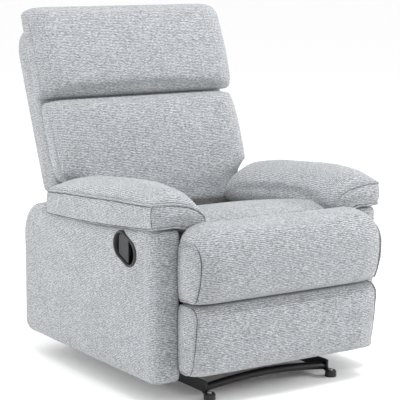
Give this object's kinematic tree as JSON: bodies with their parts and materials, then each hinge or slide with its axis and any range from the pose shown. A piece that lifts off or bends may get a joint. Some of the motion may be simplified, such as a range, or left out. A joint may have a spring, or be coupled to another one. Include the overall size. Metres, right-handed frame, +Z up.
{
  "type": "recliner armchair",
  "caption": "Upholstered recliner armchair with pillow arms, a two-part footrest on folding links, a reclining back and a cup-shaped release handle on a black steel base.",
  "frame": {"origin": "on the floor under the middle of the chair's bounding box", "axes": "+Z up, the sitter faces -Y, +X is the sitter's left"},
  "size_m": [0.772, 1.0426, 1.0547],
  "materials": {
    "upholstery": "matte",
    "dust_cloth": "matte",
    "webbing": "matte",
    "timber": "matte",
    "black_steel": "satin",
    "zinc_steel": "satin",
    "black_plastic": "satin",
    "grey_plastic": "satin",
    "cable_sheath": "matte"
  },
  "bodies": {
    "seat_box": {"base_rail_left": "black_steel", "base_rail_right": "black_steel", "front_cross_bar": "black_steel", "rear_cross_bar": "black_steel", "glide_feet": "black_plastic", "glide_bolts": "zinc_steel", "base_spacers": "zinc_steel", "mech_plate_left": "black_steel", "mech_plate_right": "black_steel", "plate_rivets": "zinc_steel", "arm_panel_left": "timber", "arm_panel_right": "timber", "arm_cover_left": "upholstery", "arm_cover_right": "upholstery", "arm_pad_left": "upholstery", "arm_pad_right": "upholstery", "seat_side_rail_left": "timber", "seat_side_rail_right": "timber", "seat_front_rail": "timber", "seat_rear_rail": "timber", "seat_springs": "zinc_steel", "seat_cushion": "upholstery", "hinge_plate_left": "black_steel", "hinge_plate_right": "black_steel", "hinge_bolts": "zinc_steel", "rear_rail": "timber", "rear_panel": "dust_cloth", "arm_bolts": "zinc_steel", "handle_bezel": "black_plastic", "handle_pin": "zinc_steel", "release_cable": "cable_sheath", "latch_bolt": "zinc_steel"},
    "links_lower": {"lower_link_left": "black_steel", "lower_link_right": "black_steel", "link_rivets": "zinc_steel"},
    "links_upper": {"upper_link_left": "black_steel", "upper_link_right": "black_steel", "footrest_rivets": "zinc_steel"},
    "footrest": {"footrest_bracket_left": "black_steel", "footrest_bracket_right": "black_steel", "footrest_board": "timber", "footrest_upper_pad": "upholstery", "footrest_lower_pad": "upholstery"},
    "torque_tube": {"torque_tube": "black_steel", "crank_rivets": "zinc_steel"},
    "drive_rods": {"drive_rod_left": "black_steel", "drive_rod_right": "black_steel"},
    "backrest": {"back_stile_left": "timber", "back_stile_right": "timber", "back_top_rail": "timber", "back_bottom_rail": "timber", "back_webbing": "webbing", "back_shell": "upholstery", "back_bracket_left": "black_steel", "back_bracket_right": "black_steel", "head_cushion": "upholstery", "lumbar_cushion": "upholstery"},
    "paddle": {"release_paddle": "grey_plastic"},
    "latch": {"latch_lever": "black_steel"}
  },
  "joints": [
    {"name": "footrest_open", "type": "hinge", "parent": "seat_box", "child": "links_lower", "pos_m": [0, -0.316, 0.31], "axis": [-1, 0, 0], "range_deg": [0, 100]},
    {"name": "upper_link_fold", "type": "hinge", "parent": "links_lower", "child": "links_upper", "pos_m": [0, -0.316, 0.11], "axis": [-1, 0, 0], "range_deg": [-175, 0]},
    {"name": "footrest_tilt", "type": "hinge", "parent": "links_upper", "child": "footrest", "pos_m": [0, -0.36776, 0.30318], "axis": [-1, 0, 0], "range_deg": [0, 160]},
    {"name": "torque_turn", "type": "hinge", "parent": "seat_box", "child": "torque_tube", "pos_m": [0, -0.116, 0.18], "axis": [-1, 0, 0], "range_deg": [0, 100]},
    {"name": "rod_swing", "type": "hinge", "parent": "torque_tube", "child": "drive_rods", "pos_m": [0, -0.116, 0.12], "axis": [-1, 0, 0], "range_deg": [-100, 0]},
    {"name": "recline", "type": "hinge", "parent": "seat_box", "child": "backrest", "pos_m": [0, 0.184, 0.33], "axis": [-1, 0, 0], "range_deg": [0, 35]},
    {"name": "paddle_pull", "type": "hinge", "parent": "seat_box", "child": "paddle", "pos_m": [-0.374, -0.234, 0.4192], "axis": [0, 0, -1], "range_deg": [0, 25], "stiffness_Nm_per_rad": 0.25, "springref_deg": -17.19},
    {"name": "latch_lift", "type": "hinge", "parent": "seat_box", "child": "latch", "pos_m": [-0.2315, -0.056, 0.214], "axis": [-1, 0, 0], "range_deg": [0, 20]}
  ],
  "couplings": [
    {"joint": "upper_link_fold", "follows": "footrest_open", "ratio": -1.75},
    {"joint": "footrest_tilt", "follows": "footrest_open", "ratio": 1.6},
    {"joint": "torque_turn", "follows": "footrest_open", "ratio": 1},
    {"joint": "rod_swing", "follows": "footrest_open", "ratio": -1},
    {"joint": "latch_lift", "follows": "paddle_pull", "ratio": 0.8}
  ]
}
